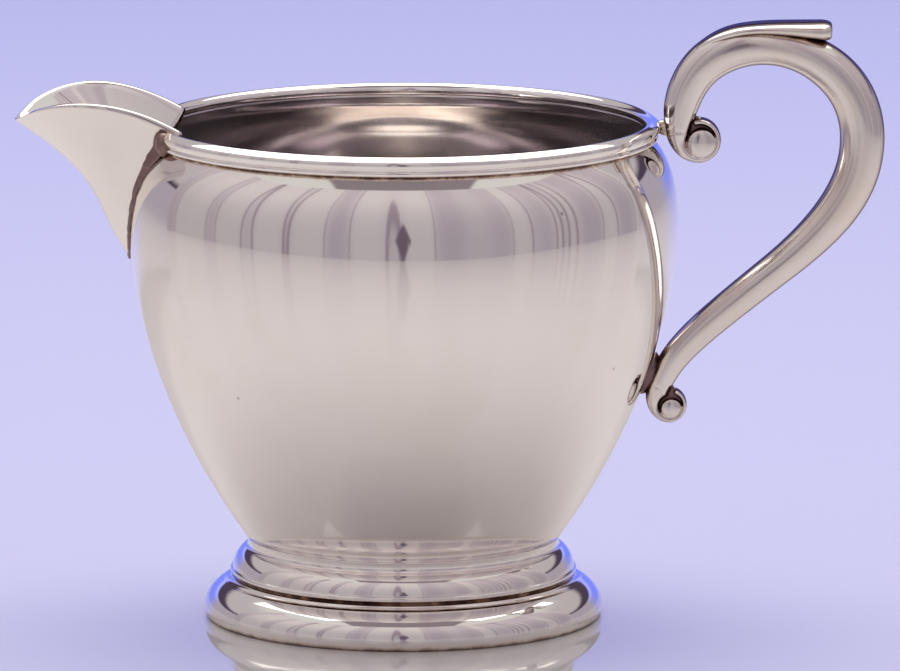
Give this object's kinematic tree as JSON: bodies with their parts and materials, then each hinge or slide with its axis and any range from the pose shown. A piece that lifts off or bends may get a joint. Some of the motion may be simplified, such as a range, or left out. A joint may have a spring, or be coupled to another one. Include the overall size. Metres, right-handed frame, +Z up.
{
  "type": "creamer",
  "caption": "Small footed metal creamer with a wide folded spout, a moulded rim, a stepped round foot and a scroll handle with a thumb leaf.",
  "frame": {"origin": "centre of the circle that the foot stands on", "axes": "+Z up along the bowl's axis, -X towards the spout, +X towards the handle"},
  "size_m": [0.1264, 0.08, 0.0876],
  "materials": {
    "silver": "polished, with fine scratches and grey tarnish in the grooves",
    "cast_silver": "softly polished casting, darker in its hollows",
    "solder": "dark, tarnished silver solder"
  },
  "bodies": {
    "root": {"bowl": "silver", "rim_wire": "silver", "spout": "silver", "spout_solder": "solder", "foot_collar": "silver", "foot_base": "silver", "handle_bar": "cast_silver", "thumb_leaf": "cast_silver", "upper_curl": "cast_silver", "lower_curl": "cast_silver", "upper_solder": "solder", "lower_solder": "solder"}
  },
  "joints": []
}
